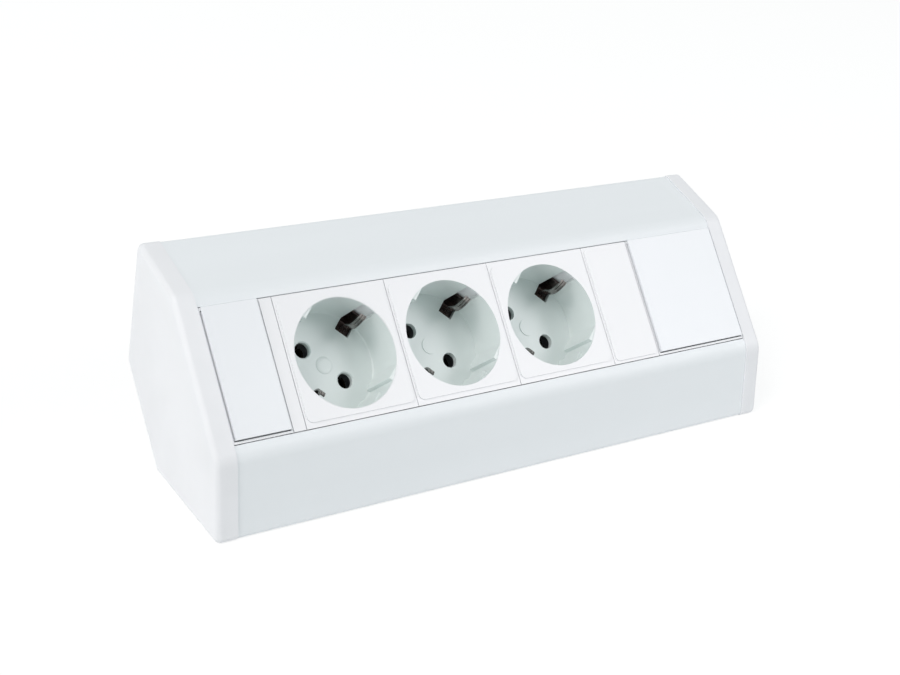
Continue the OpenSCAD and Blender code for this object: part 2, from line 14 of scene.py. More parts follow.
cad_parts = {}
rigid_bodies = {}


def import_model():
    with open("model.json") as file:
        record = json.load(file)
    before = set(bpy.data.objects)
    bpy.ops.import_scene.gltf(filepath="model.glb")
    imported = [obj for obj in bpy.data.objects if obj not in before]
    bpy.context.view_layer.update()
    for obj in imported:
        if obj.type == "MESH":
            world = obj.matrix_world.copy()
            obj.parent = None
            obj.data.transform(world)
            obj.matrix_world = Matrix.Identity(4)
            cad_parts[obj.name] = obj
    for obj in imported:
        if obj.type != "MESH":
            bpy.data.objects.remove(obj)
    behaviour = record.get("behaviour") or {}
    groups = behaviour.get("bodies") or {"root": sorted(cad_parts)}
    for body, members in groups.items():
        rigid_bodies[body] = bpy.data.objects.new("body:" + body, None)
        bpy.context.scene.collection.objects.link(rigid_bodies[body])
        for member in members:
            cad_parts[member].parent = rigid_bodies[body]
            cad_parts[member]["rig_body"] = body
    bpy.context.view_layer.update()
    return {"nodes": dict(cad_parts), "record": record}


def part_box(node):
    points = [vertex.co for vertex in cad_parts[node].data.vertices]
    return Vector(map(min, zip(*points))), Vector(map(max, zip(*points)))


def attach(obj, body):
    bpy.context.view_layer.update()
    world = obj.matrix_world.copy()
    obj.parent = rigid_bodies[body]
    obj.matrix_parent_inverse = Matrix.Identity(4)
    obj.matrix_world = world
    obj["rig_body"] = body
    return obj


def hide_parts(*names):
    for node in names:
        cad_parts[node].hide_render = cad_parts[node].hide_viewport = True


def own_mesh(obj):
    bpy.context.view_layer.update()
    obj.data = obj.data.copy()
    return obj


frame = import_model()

NODES = frame["nodes"]
MOUNTS = {row["name"]: row for row in frame["record"]["mounts"]}
MM = 0.001
Loop = list[tuple[float, float, float]]
log = logging.getLogger("power_strip")


# ---------------------------------------------------------------- finishes


class Texture(Enum):
    """The kinds of fine surface texture that the finishes use."""

    MOULDED = "moulded"
    DRAWN = "drawn"
    PLATED = "plated"


@dataclass(frozen=True)
class Finish:
    """A surface finish: its colour, gloss and fine texture.

    Colours are linear. Scales are in waves a metre, and depths in metres.
    """

    name: str
    slot: str
    colour: tuple[float, float, float]
    roughness: float
    texture: Texture = Texture.MOULDED
    metallic: float = 0.0
    specular: float = 0.5
    coat: float = 0.0
    tone_spread: float = 0.02
    tone_scale: float = 45.0
    gloss_spread: float = 0.06
    grain_scale: float = 1600.0
    grain_depth: float = 0.000012
    grain_strength: float = 0.25

    def make(self) -> bpy.types.Material:
        """Builds the finish once, and returns the same material after that."""
        made = bpy.data.materials.get(self.name)
        if made is None:
            made = bpy.data.materials.new(self.name)
            made.use_nodes = True
            self._wire_up(made.node_tree)
            made.diffuse_color = (*self.colour, 1.0)
        return made

    def _wire_up(self, tree: bpy.types.NodeTree) -> None:
        """Adds the nodes for tone, gloss and grain.

        Args:
            tree: The material's node tree, with its default shader in place.
        """
        shader = tree.nodes["Principled BSDF"]
        shader.inputs["Metallic"].default_value = self.metallic
        shader.inputs["Specular IOR Level"].default_value = self.specular
        shader.inputs["Coat Weight"].default_value = self.coat
        shader.inputs["Coat Roughness"].default_value = 0.15
        place = tree.nodes.new("ShaderNodeTexCoord").outputs["Object"]
        stretched = self._stretch(tree, place)
        broad = self._noise(tree, stretched, self.tone_scale, 3.0)
        fine = self._noise(tree, stretched, self.grain_scale, 2.0)

        ramp = tree.nodes.new("ShaderNodeValToRGB")
        low = [max(0.0, c * (1.0 - self.tone_spread)) for c in self.colour]
        high = [min(1.0, c * (1.0 + self.tone_spread)) for c in self.colour]
        ramp.color_ramp.elements[0].position = 0.3
        ramp.color_ramp.elements[1].position = 0.7
        ramp.color_ramp.elements[0].color = (*low, 1.0)
        ramp.color_ramp.elements[1].color = (*high, 1.0)
        tree.links.new(broad, ramp.inputs["Fac"])
        tree.links.new(ramp.outputs["Color"], shader.inputs["Base Color"])

        gloss = tree.nodes.new("ShaderNodeMapRange")
        gloss.inputs["From Min"].default_value = 0.3
        gloss.inputs["From Max"].default_value = 0.7
        gloss.inputs["To Min"].default_value = max(0.02, self.roughness - self.gloss_spread)
        gloss.inputs["To Max"].default_value = min(1.0, self.roughness + self.gloss_spread)
        tree.links.new(fine, gloss.inputs["Value"])
        tree.links.new(gloss.outputs["Result"], shader.inputs["Roughness"])

        bump = tree.nodes.new("ShaderNodeBump")
        bump.inputs["Strength"].default_value = self.grain_strength
        bump.inputs["Distance"].default_value = self.grain_depth
        tree.links.new(fine, bump.inputs["Height"])
        tree.links.new(bump.outputs["Normal"], shader.inputs["Normal"])

    def _stretch(
        self, tree: bpy.types.NodeTree, place: bpy.types.NodeSocket
    ) -> bpy.types.NodeSocket:
        """Stretches the pattern along X on drawn and plated metal.

        Args:
            tree: The node tree.
            place: The socket with the surface's place.

        Returns:
            The socket with the stretched place.
        """
        mapping = tree.nodes.new("ShaderNodeMapping")
        along = {Texture.MOULDED: 1.0, Texture.DRAWN: 0.06, Texture.PLATED: 0.5}
        mapping.inputs["Scale"].default_value = (along[self.texture], 1.0, 1.0)
        tree.links.new(place, mapping.inputs["Vector"])
        return mapping.outputs["Vector"]

    @staticmethod
    def _noise(
        tree: bpy.types.NodeTree, place: bpy.types.NodeSocket, scale: float, detail: float
    ) -> bpy.types.NodeSocket:
        """Adds one noise texture and returns its value.

        Args:
            tree: The node tree.
            place: The socket with the surface's place.
            scale: Waves a metre.
            detail: The number of finer layers.

        Returns:
            The noise's value socket.
        """
        noise = tree.nodes.new("ShaderNodeTexNoise")
        noise.inputs["Scale"].default_value = scale
        noise.inputs["Detail"].default_value = detail
        tree.links.new(place, noise.inputs["Vector"])
        return noise.outputs["Fac"]


HOUSING_COAT = Finish(
    "housing_powder_coat", "housing", (0.865, 0.895, 0.92), 0.42, Texture.DRAWN,
    tone_spread=0.012, grain_scale=1400.0, grain_depth=0.00001, grain_strength=0.2,
)
CAP_PLASTIC = Finish("cap_white_plastic", "end_cap", (0.875, 0.88, 0.905), 0.45)
MODULE_PLASTIC = Finish(
    "module_white_plastic", "module_white", (0.878, 0.882, 0.902), 0.3,
    tone_spread=0.006, gloss_spread=0.02, grain_strength=0.03,
)
# Painted shade: the face's white plastic made darker and greener for the walls and floor of the
# recess, where shade falls.
RECESS_PAINTED_SHADE = Finish(
    "recess_painted_shade_plastic", "module_white", (0.78, 0.84, 0.83), 0.32,
    tone_spread=0.006, gloss_spread=0.02, grain_strength=0.03,
)
KEY_PLASTIC = Finish(
    "key_white_plastic", "key_white", (0.87, 0.89, 0.92), 0.3,
    tone_spread=0.006, gloss_spread=0.02, grain_strength=0.03,
)
BASE_PLASTIC = Finish("base_grey_plastic", "base_grey", (0.5, 0.51, 0.53), 0.55)
BLOCK_PLASTIC = Finish("block_ivory_plastic", "block_plastic", (0.72, 0.69, 0.58), 0.5)
# Painted shade: the strap's bar is the same steel as its tongues, made almost black because it lies
# in the shade under the floor and in the grooves.
EARTH_BAR_PAINTED_SHADE = Finish(
    "earth_bar_painted_shade_steel", "earth_steel", (0.075, 0.06, 0.055), 0.32, Texture.PLATED,
    metallic=1.0, tone_spread=0.5, tone_scale=900.0, grain_scale=2600.0,
)
EARTH_SPRING_STEEL = Finish(
    "earth_spring_steel", "earth_steel", (0.26, 0.25, 0.24), 0.24, Texture.PLATED,
    metallic=1.0, tone_spread=0.2, tone_scale=900.0, grain_scale=2600.0,
)
# Painted shade: the brass is made almost black so that the pin holes look dark inside.
CONTACT_PAINTED_SHADE = Finish(
    "contact_painted_shade_brass", "contact_brass", (0.04, 0.033, 0.022), 0.5, Texture.PLATED,
    metallic=1.0, tone_spread=0.1, tone_scale=300.0,
)
SCREW_ZINC = Finish(
    "screw_zinc_plate", "screw_steel", (0.62, 0.63, 0.66), 0.3, Texture.PLATED,
    metallic=1.0, tone_spread=0.08, tone_scale=500.0,
)
SPRING_WIRE = Finish(
    "spring_bright_wire", "spring_steel", (0.55, 0.56, 0.58), 0.25, Texture.PLATED,
    metallic=1.0, tone_spread=0.08, tone_scale=500.0,
)
GROMMET_RUBBER = Finish(
    "grommet_black_rubber", "grommet_rubber", (0.022, 0.022, 0.024), 0.68,
    specular=0.3, tone_spread=0.15, grain_depth=0.00003, grain_strength=0.4,
)
LINE_SLEEVE = Finish("line_brown_sleeve", "line_insulation", (0.13, 0.055, 0.025), 0.5)
NEUTRAL_SLEEVE = Finish("neutral_blue_sleeve", "neutral_insulation", (0.02, 0.08, 0.42), 0.5)


@dataclass(frozen=True)
class StripedSleeve(Finish):
    """A wire's sleeve in green with a yellow band that runs along it."""

    second: tuple[float, float, float] = (0.8, 0.62, 0.02)
    band_waves: float = 190.0

    def _wire_up(self, tree: bpy.types.NodeTree) -> None:
        """Adds the band over the plain sleeve.

        Args:
            tree: The material's node tree, with its default shader in place.
        """
        super()._wire_up(tree)
        shader = tree.nodes["Principled BSDF"]
        wave = tree.nodes.new("ShaderNodeTexWave")
        wave.bands_direction = "DIAGONAL"
        wave.inputs["Scale"].default_value = self.band_waves
        place = tree.nodes.new("ShaderNodeTexCoord").outputs["Object"]
        tree.links.new(place, wave.inputs["Vector"])
        ramp = tree.nodes.new("ShaderNodeValToRGB")
        ramp.color_ramp.interpolation = "CONSTANT"
        ramp.color_ramp.elements[0].color = (*self.colour, 1.0)
        ramp.color_ramp.elements[1].position = 0.6
        ramp.color_ramp.elements[1].color = (*self.second, 1.0)
        tree.links.new(wave.outputs["Fac"], ramp.inputs["Fac"])
        tree.links.new(ramp.outputs["Color"], shader.inputs["Base Color"])


EARTH_SLEEVE = StripedSleeve("earth_striped_sleeve", "earth_insulation", (0.08, 0.35, 0.04), 0.5)


# ---------------------------------------------------------------- mesh tools


def link(name: str, mesh: bpy.types.Mesh) -> bpy.types.Object:
    """Makes an object from a mesh and puts it in the scene."""
    made = bpy.data.objects.new(name, mesh)
    bpy.context.scene.collection.objects.link(made)
    return made


def mesh_from_bmesh(name: str, shape: bmesh.types.BMesh) -> bpy.types.Object:
    """Turns a bmesh into an object, and frees the bmesh."""
    mesh = bpy.data.meshes.new(name)
    shape.to_mesh(mesh)
    shape.free()
    return link(name, mesh)


def loft(rings: Sequence[Loop]) -> bmesh.types.BMesh:
    """Joins rings of the same number of points, and closes both ends.

    Args:
        rings: The rings in order, anticlockwise seen from the last one.

    Returns:
        The closed shape, in millimetres.
    """
    shape = bmesh.new()
    rows = [[shape.verts.new(p) for p in ring] for ring in rings]
    count = len(rows[0])
    for low, high in zip(rows, rows[1:]):
        for i in range(count):
            j = (i + 1) % count
            shape.faces.new((low[i], low[j], high[j], high[i]))
    shape.faces.new(list(reversed(rows[0])))
    shape.faces.new(rows[-1])
    return shape


def circle(radius: float, height: float, steps: int) -> Loop:
    """A ring of points about the Z axis, in millimetres."""
    turn = [math.tau * i / steps for i in range(steps)]
    return [(radius * math.cos(a), radius * math.sin(a), height) for a in turn]


def rounded_rectangle(
    size: tuple[float, float], radius: float, height: float, corner_steps: int = 8
) -> Loop:
    """A rectangle with round corners about the Z axis, anticlockwise.

    Args:
        size: Its length along X and Y.
        radius: The radius of its corners.
        height: Its place on Z.
        corner_steps: The number of steps round each corner.

    Returns:
        The ring of points, in millimetres.
    """
    ring: Loop = []
    for quarter in range(4):
        sx = (1, -1, -1, 1)[quarter]
        sy = (1, 1, -1, -1)[quarter]
        cx = sx * (size[0] / 2 - radius)
        cy = sy * (size[1] / 2 - radius)
        for step in range(corner_steps + 1):
            a = math.radians(90 * quarter + 90 * step / corner_steps)
            ring.append((cx + radius * math.cos(a), cy + radius * math.sin(a), height))
    return ring


def turned(profile: Iterable[tuple[float, float]], steps: int = 96) -> bmesh.types.BMesh:
    """Turns a profile of (radius, height) about the Z axis into a closed solid.

    Args:
        profile: Points from the bottom to the top.
        steps: The number of steps round the axis.

    Returns:
        The solid, in millimetres.
    """
    return loft([circle(r, z, steps) for r, z in profile])


def solid(name: str, shape: bmesh.types.BMesh, place: Matrix | None = None) -> bpy.types.Object:
    """Makes an object of a shape in millimetres, and keeps it in millimetres."""
    if place is not None:
        bmesh.ops.transform(shape, matrix=place, verts=shape.verts)
    bmesh.ops.recalc_face_normals(shape, faces=shape.faces)
    return mesh_from_bmesh(name, shape)


class Cut(Enum):
    """How two solids are put together."""

    JOIN = "UNION"
    TAKE_AWAY = "DIFFERENCE"


def put_together(
    base: bpy.types.Object, tools: Sequence[bpy.types.Object], how: Cut
) -> bpy.types.Object:
    """Joins other solids to the base, or cuts with them, and removes them.

    Args:
        base: The solid that is changed.
        tools: The other solids.
        how: Whether they are joined or taken away.

    Returns:
        The base, with its new mesh.
    """
    for tool in tools:
        modifier = base.modifiers.new("cut", "BOOLEAN")
        modifier.object = tool
        modifier.operation = how.value
        modifier.solver = "EXACT"
        graph = bpy.context.evaluated_depsgraph_get()
        mesh = bpy.data.meshes.new_from_object(base.evaluated_get(graph))
        base.modifiers.remove(modifier)
        base.data = mesh
        bpy.data.objects.remove(tool)
    return base


def mark_sharp(mesh: bpy.types.Mesh, angle: float) -> None:
    """Smooths a mesh's shading, and keeps edges sharper than an angle in degrees."""
    shape = bmesh.new()
    shape.from_mesh(mesh)
    for face in shape.faces:
        face.smooth = True
    for edge in shape.edges:
        edge.smooth = edge.calc_face_angle(math.pi) < math.radians(angle)
    shape.to_mesh(mesh)
    shape.free()


@dataclass(frozen=True)
class Edging:
    """How a piece's edges are rounded off and shaded."""

    width: float = 0.00025
    segments: int = 3
    angle: float = 32.0

    def apply(self, piece: bpy.types.Object) -> None:
        """Rounds every edge sharper than the angle, and evens the shading."""
        if self.width > 0:
            bevel = piece.modifiers.new("edges", "BEVEL")
            bevel.width = self.width
            bevel.segments = self.segments
            bevel.limit_method = "ANGLE"
            bevel.angle_limit = math.radians(self.angle)
            bevel.use_clamp_overlap = True
            bevel.harden_normals = False
        weighted = piece.modifiers.new("shading", "WEIGHTED_NORMAL")
        weighted.keep_sharp = True


def copy_of_node(node: str, name: str) -> bpy.types.Object:
    """Copies a CAD node's mesh as whole flat faces with shared corners.

    Args:
        node: The node's name.
        name: The new piece's name.

    Returns:
        The new piece, in metres.
    """
    shape = bmesh.new()
    shape.from_mesh(NODES[node].data)
    for key in list(shape.loops.layers.uv.values()):
        shape.loops.layers.uv.remove(key)
    bmesh.ops.remove_doubles(shape, verts=shape.verts, dist=2e-6)
    bmesh.ops.dissolve_limit(
        shape, angle_limit=math.radians(0.6), verts=shape.verts, edges=shape.edges
    )
    verts = [tuple(v.co) for v in shape.verts]
    shape.verts.index_update()
    faces = [[v.index for v in f.verts] for f in shape.faces]
    shape.free()
    mesh = bpy.data.meshes.new(name)
    mesh.from_pydata(verts, [], faces)
    mesh.validate()
    return link(name, mesh)


def finish_piece(
    piece: bpy.types.Object, node: str, finish: Finish, edging: Edging = Edging()
) -> bpy.types.Object:
    """Dresses a piece that stands for a CAD node, and puts it on that node's body.

    Args:
        piece: The piece, in metres.
        node: The CAD node that it replaces.
        finish: Its finish.
        edging: How its edges are rounded.

    Returns:
        The same piece.
    """
    mark_sharp(piece.data, edging.angle)
    edging.apply(piece)
    piece.data.materials.clear()
    piece.data.materials.append(finish.make())
    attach(piece, NODES[node]["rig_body"])
    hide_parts(node)
    log.info("%s: %d faces, stands for %s", piece.name, len(piece.data.polygons), node)
    return piece


def dress_node(node: str, finish: Finish) -> None:
    """Gives a CAD node that keeps its own shape its finish."""
    slots = NODES[node].data.materials
    slots.clear()
    slots.append(finish.make())
    log.info("%s: kept, in %s", node, finish.name)


# ---------------------------------------------------------------- the face


@dataclass(frozen=True)
class FacePlane:
    """The sloping face, with X along the strip, Y up the face and Z out of it."""

    plateau: float = 0.45

    def out(self) -> Vector:
        """The direction out of the face."""
        return Vector(MOUNTS["socket_2"]["axis"]).normalized()

    def place(self, node: str) -> Matrix:
        """From millimetres about the middle of a node's face to metres in the frame."""
        low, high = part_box(node)
        middle = Vector(MOUNTS["socket_2"]["pos_m"]) - self.out() * self.plateau * MM
        middle.x = (low.x + high.x) / 2
        tilt = math.atan2(-self.out().y, self.out().z)
        return Matrix.Translation(middle) @ Matrix.Rotation(tilt, 4, "X") @ Matrix.Scale(MM, 4)

    def extent(self, node: str) -> tuple[Vector, Vector]:
        """The corners of a node's box in millimetres about the middle of its face."""
        back = self.place(node).inverted()
        points = [back @ corner.co for corner in NODES[node].data.vertices]
        low = Vector([min(p[axis] for p in points) for axis in range(3)])
        high = Vector([max(p[axis] for p in points) for axis in range(3)])
        return low, high


FACE = FacePlane()
SEAM_EASE = 0.13  # millimetres


def ease_ends(piece: bpy.types.Object, node: str) -> None:
    """Draws a plate's two ends in a little, which widens its seams with the housing.

    Args:
        piece: The plate, in metres, before its edges are rounded.
        node: The CAD node that it stands for.
    """
    place = FACE.place(node)
    back = place.inverted()
    points = [back @ corner.co for corner in piece.data.vertices]
    end = max(abs(point.y) for point in points if abs(point.z) < 0.01)
    for corner, point in zip(piece.data.vertices, points):
        if abs(abs(point.y) - end) < 0.01:
            point.y -= math.copysign(SEAM_EASE, point.y)
            corner.co = place @ point


# ---------------------------------------------------------------- screws


@dataclass(frozen=True)
class Screw:
    """A slotted pan-head screw with a ridged shank, in millimetres; its head is below zero."""

    head_r: float
    head_h: float
    shank_r: float
    slot_w: float = 0.8
    slot_depth: float = 1.1
    ridge: float = 0.16
    ridge_pitch: float = 0.8

    def build(self, shank: float) -> bpy.types.Object:
        """Makes one screw.

        Args:
            shank: The length of its shank.

        Returns:
            The screw, head down, about the Z axis.
        """
        profile: list[tuple[float, float]] = []
        if self.head_h > 0:
            profile = [
                (self.head_r * math.sin(a), -self.head_h * (0.35 + 0.65 * math.cos(a)))
                for a in (math.radians(15 * k) for k in range(1, 7))
            ]
            profile.append((self.head_r, 0.0))
        count = max(1, int(shank / self.ridge_pitch))
        step = shank / count
        for k in range(count):
            profile.append((self.shank_r - self.ridge, k * step + 0.02))
            profile.append((self.shank_r, (k + 0.5) * step))
        profile.append((self.shank_r - self.ridge, shank))
        body = solid("screw", turned(profile, 40))
        low = -self.head_h
        size = (3 * max(self.head_r, self.shank_r), self.slot_w)
        rings = [rounded_rectangle(size, 0.05, z, 2) for z in (low - 1.0, low + self.slot_depth)]
        return put_together(body, [solid("slot", loft(rings))], Cut.TAKE_AWAY)


@dataclass(frozen=True)
class ScrewGrid:
    """Equal screws in rows, each turned to its own angle by a fixed seed."""

    count: tuple[int, int]
    size: tuple[float, float]
    shank: float
    seed: int = 11

    def build(
        self, name: str, screw: Screw, finish: Finish, place: Matrix
    ) -> bpy.types.Object:
        """Makes the rows as one plain mesh.

        Args:
            name: The piece's name.
            screw: The screw that is repeated.
            finish: The screws' finish.
            place: From millimetres about the grid's middle to metres.

        Returns:
            The screws, in metres.
        """
        pattern = screw.build(self.shank)
        rows = link(name, bpy.data.meshes.new(name))
        modifier = rows.modifiers.new("rows", "NODES")
        modifier.node_group = self._tree()
        values = {
            "Columns": self.count[0], "Rows": self.count[1], "Width": self.size[0],
            "Height": self.size[1], "Seed": self.seed, "Screw": pattern,
            "Finish": finish.make(),
        }
        for item in modifier.node_group.interface.items_tree:
            if item.name in values and item.in_out == "INPUT":
                modifier[item.identifier] = values[item.name]
        graph = bpy.context.evaluated_depsgraph_get()
        mesh = bpy.data.meshes.new_from_object(rows.evaluated_get(graph))
        rows.modifiers.clear()
        rows.data = mesh
        bpy.data.objects.remove(pattern)
        rows.data.transform(place)
        return rows

    @staticmethod
    def _tree() -> bpy.types.NodeTree:
        """The node tree that sets one screw on every point of a grid.

        Returns:
            The tree, which is made once.
        """
        tree = bpy.data.node_groups.get("screw_rows")
        if tree is not None:
            return tree
        tree = bpy.data.node_groups.new("screw_rows", "GeometryNodeTree")
        kinds = {
            "Columns": "Int", "Rows": "Int", "Width": "Float", "Height": "Float",
            "Seed": "Int", "Screw": "Object", "Finish": "Material",
        }
        for label, kind in kinds.items():
            tree.interface.new_socket(label, in_out="INPUT", socket_type=f"NodeSocket{kind}")
        tree.interface.new_socket("Screws", in_out="OUTPUT", socket_type="NodeSocketGeometry")
        add, join = tree.nodes.new, tree.links.new
        given, made = add("NodeGroupInput"), add("NodeGroupOutput")
        grid, source = add("GeometryNodeMeshGrid"), add("GeometryNodeObjectInfo")
        spread, turn = add("GeometryNodeInstanceOnPoints"), add("FunctionNodeRandomValue")
        angles, real = add("ShaderNodeCombineXYZ"), add("GeometryNodeRealizeInstances")
        paint = add("GeometryNodeSetMaterial")
        join(given.outputs["Columns"], grid.inputs["Vertices X"])
        join(given.outputs["Rows"], grid.inputs["Vertices Y"])
        join(given.outputs["Width"], grid.inputs["Size X"])
        join(given.outputs["Height"], grid.inputs["Size Y"])
        join(given.outputs["Screw"], source.inputs["Object"])
        number = next(k for k in turn.inputs if k.name == "Max" and k.type == "VALUE")
        number.default_value = math.pi
        join(given.outputs["Seed"], turn.inputs["Seed"])
        angle = next(k for k in turn.outputs if k.type == "VALUE" and k.enabled)
        join(angle, angles.inputs["Z"])
        join(grid.outputs["Mesh"], spread.inputs["Points"])
        join(source.outputs["Geometry"], spread.inputs["Instance"])
        join(angles.outputs["Vector"], spread.inputs["Rotation"])
        join(spread.outputs["Instances"], real.inputs["Geometry"])
        join(real.outputs["Geometry"], paint.inputs["Geometry"])
        join(given.outputs["Finish"], paint.inputs["Material"])
        join(paint.outputs["Geometry"], made.inputs["Screws"])
        return tree


# ---------------------------------------------------------------- sub-assemblies


@dataclass
class Housing:
    """The extruded housing with its two end caps and the cable grommet."""

    lip_edge: float = 0.0001
    cap_edge: float = 0.0004
    pieces: list[bpy.types.Object] = field(default_factory=list)

    def build(self) -> None:
        """Makes the housing, the caps and the grommet."""
        shell = copy_of_node("housing_profile", "housing_extrusion")
        left = copy_of_node("left_end_cap", "left_cap_moulding")
        right = copy_of_node("right_end_cap", "right_cap_moulding")
        sleeve = copy_of_node("cable_grommet", "cable_sleeve")
        self.pieces = [shell, left, right, sleeve]

    def dress(self) -> None:
        """Rounds the edges and gives each piece its finish."""
        shell, left, right, sleeve = self.pieces
        finish_piece(shell, "housing_profile", HOUSING_COAT, Edging(self.lip_edge, 2, 30.0))
        finish_piece(left, "left_end_cap", CAP_PLASTIC, Edging(self.cap_edge, 2, 40.0))
        finish_piece(right, "right_end_cap", CAP_PLASTIC, Edging(self.cap_edge, 2, 40.0))
        finish_piece(sleeve, "cable_grommet", GROMMET_RUBBER, Edging(self.cap_edge, 3, 30.0))


@dataclass(frozen=True)
class Diagonal:
    """A diagonal of a socket: out along an angle, and across it."""

    angle: float
    mirrored: bool = False

    def matrix(self) -> Matrix:
        """Turns (out, across, up) into the socket's own directions."""
        turn = Matrix.Rotation(math.radians(self.angle), 4, "Z")
        return turn @ Matrix.Scale(-1.0, 4, (0.0, 1.0, 0.0)) if self.mirrored else turn


EARTH_SIDES = (Diagonal(45.0), Diagonal(225.0))
PIN_SIDES = (Diagonal(315.0), Diagonal(135.0, True))


@dataclass(frozen=True)
class SocketShape:
    """The round recess of a socket, with soft edges, in millimetres.

    Heights are out of the module's face, and the deep end is negative.
    """

    recess_r: float = 19.65
    floor: float = -17.05
    plateau: float = 0.45
    rim_round: float = 0.4
    floor_round: float = 0.8
    pin_pitch: float = 19.0
    pin_r: float = 2.85
    pin_ease: float = 0.45
    slot_from: float = 14.4
    slot_to: float = 21.15
    slot_w: float = 5.8
    slot_top: float = -0.35
    lug_flat: float = 18.1
    lug_tall_from: float = 1.65
    lug_low_from: float = 3.2
    lug_low_top: float = -3.3
    lug_round: float = 0.4
    boss_r: float = 3.2
    boss_h: float = 0.25

    def recess(self) -> bmesh.types.BMesh:
        """The room of the recess, with a soft floor edge and a soft rim."""
        r, low, high = self.recess_r, self.floor, self.plateau
        quarter = [math.radians(90 * k / 6) for k in range(7)]
        foot, rim = self.floor_round, self.rim_round
        profile = [(r - foot + foot * math.sin(a), low + foot * (1 - math.cos(a))) for a in quarter]
        profile += [(r + rim * (1 - math.cos(a)), high - rim + rim * math.sin(a)) for a in quarter]
        return turned([*profile, (r + rim, high + 2.0)], 128)

    def pin_hole(self) -> bmesh.types.BMesh:
        """A pin hole with an eased mouth."""
        low, r = self.floor, self.pin_r
        mouth = [(r, low - self.pin_ease), (r + self.pin_ease, low + 0.02)]
        return turned([(r, low - 4.0), *mouth, (r + self.pin_ease, low + 1.0)], 48)

    def earth_slot(self) -> bmesh.types.BMesh:
        """The floor hole and wall groove on an earth side."""
        size = (self.slot_to - self.slot_from, self.slot_w)
        rings = [rounded_rectangle(size, 0.3, z, 3) for z in (self.floor - 4.0, self.slot_top)]
        shape = loft(rings)
        middle = (self.slot_to + self.slot_from) / 2
        bmesh.ops.translate(shape, verts=shape.verts, vec=(middle, 0.0, 0.0))
        return shape

    def lug_half(self, start: float, top: float, side: int) -> bmesh.types.BMesh:
        """One half of a guide lug, with soft edges.

        Args:
            start: The distance from the lug's middle to this half.
            top: The height of its upper end.
            side: 1 for the half across in the positive direction, -1 for the other.

        Returns:
            The half, out along X.
        """
        soft, back = self.lug_round, self.recess_r + 0.8
        rings = []
        steps = [(0.0, self.floor - 0.5), (0.0, top - soft)]
        steps += [
            (soft * (1 - math.cos(a)), top - soft + soft * math.sin(a))
            for a in (math.radians(18 * k) for k in range(1, 6))
        ]
        for inset, height in steps:
            flat, near = self.lug_flat + inset, start + inset
            corner = [
                (flat + soft * (1 - math.sin(a)), near + soft * (1 - math.cos(a)))
                for a in (math.radians(22.5 * k) for k in range(5))
            ]
            far = math.atan2(math.sqrt(back**2 - flat**2), flat)
            close = math.asin(near / back)
            arc = [
                (back * math.cos(a), back * math.sin(a))
                for a in (far + (close - far) * k / 10 for k in range(11))
            ]
            rings.append([(x, side * y, height) for x, y in corner + arc])
        return loft(rings)

    def boss(self) -> bmesh.types.BMesh:
        """The low round boss in the middle of the floor."""
        low, high, r = self.floor, self.boss_h, self.boss_r
        fall = [math.radians(90 * k / 6) for k in range(7)]
        edge = [(r * (0.45 + 0.55 * math.cos(a)), low + high * math.sin(a)) for a in fall]
        return turned([(r, low - 0.5), *edge], 64)

    def shape_face(self, face: bpy.types.Object) -> None:
        """Fills a face's plain recess and forms it again with soft edges.

        Args:
            face: The face's piece, in millimetres about the middle of the face.
        """
        fill = [(self.recess_r + 0.8, self.floor - 1.0), (self.recess_r + 0.8, self.plateau - 0.2)]
        put_together(face, [solid("fill", turned(fill, 128))], Cut.JOIN)
        put_together(face, [solid("recess", self.recess())], Cut.TAKE_AWAY)
        raised = [solid("boss", self.boss())]
        for pin in PIN_SIDES:
            tall = self.lug_half(self.lug_tall_from, 0.0, 1)
            low = self.lug_half(self.lug_low_from, self.lug_low_top, -1)
            raised += [solid("lug", half, pin.matrix()) for half in (tall, low)]
        put_together(face, raised, Cut.JOIN)
        holes = [solid("slot", self.earth_slot(), side.matrix()) for side in EARTH_SIDES]
        out = Matrix.Translation((self.pin_pitch / 2, 0.0, 0.0))
        holes += [solid("pin", self.pin_hole(), pin.matrix() @ out) for pin in PIN_SIDES]
        put_together(face, holes, Cut.TAKE_AWAY)

    def inside(self, place: Vector) -> bool:
        """Says whether the middle of a side, in millimetres, is in the recess, whose sides take the
        painted shade.

        Args:
            place: The side's middle. The flat border's own middle is at the recess's.

        Returns:
            True where the side belongs to the recess.
        """
        out = math.hypot(place.x, place.y)
        border = abs(place.z) < 0.02 and out < self.pin_pitch / 2
        return out < self.recess_r + 0.02 and self.floor - 3.0 < place.z < 0.02 and not border


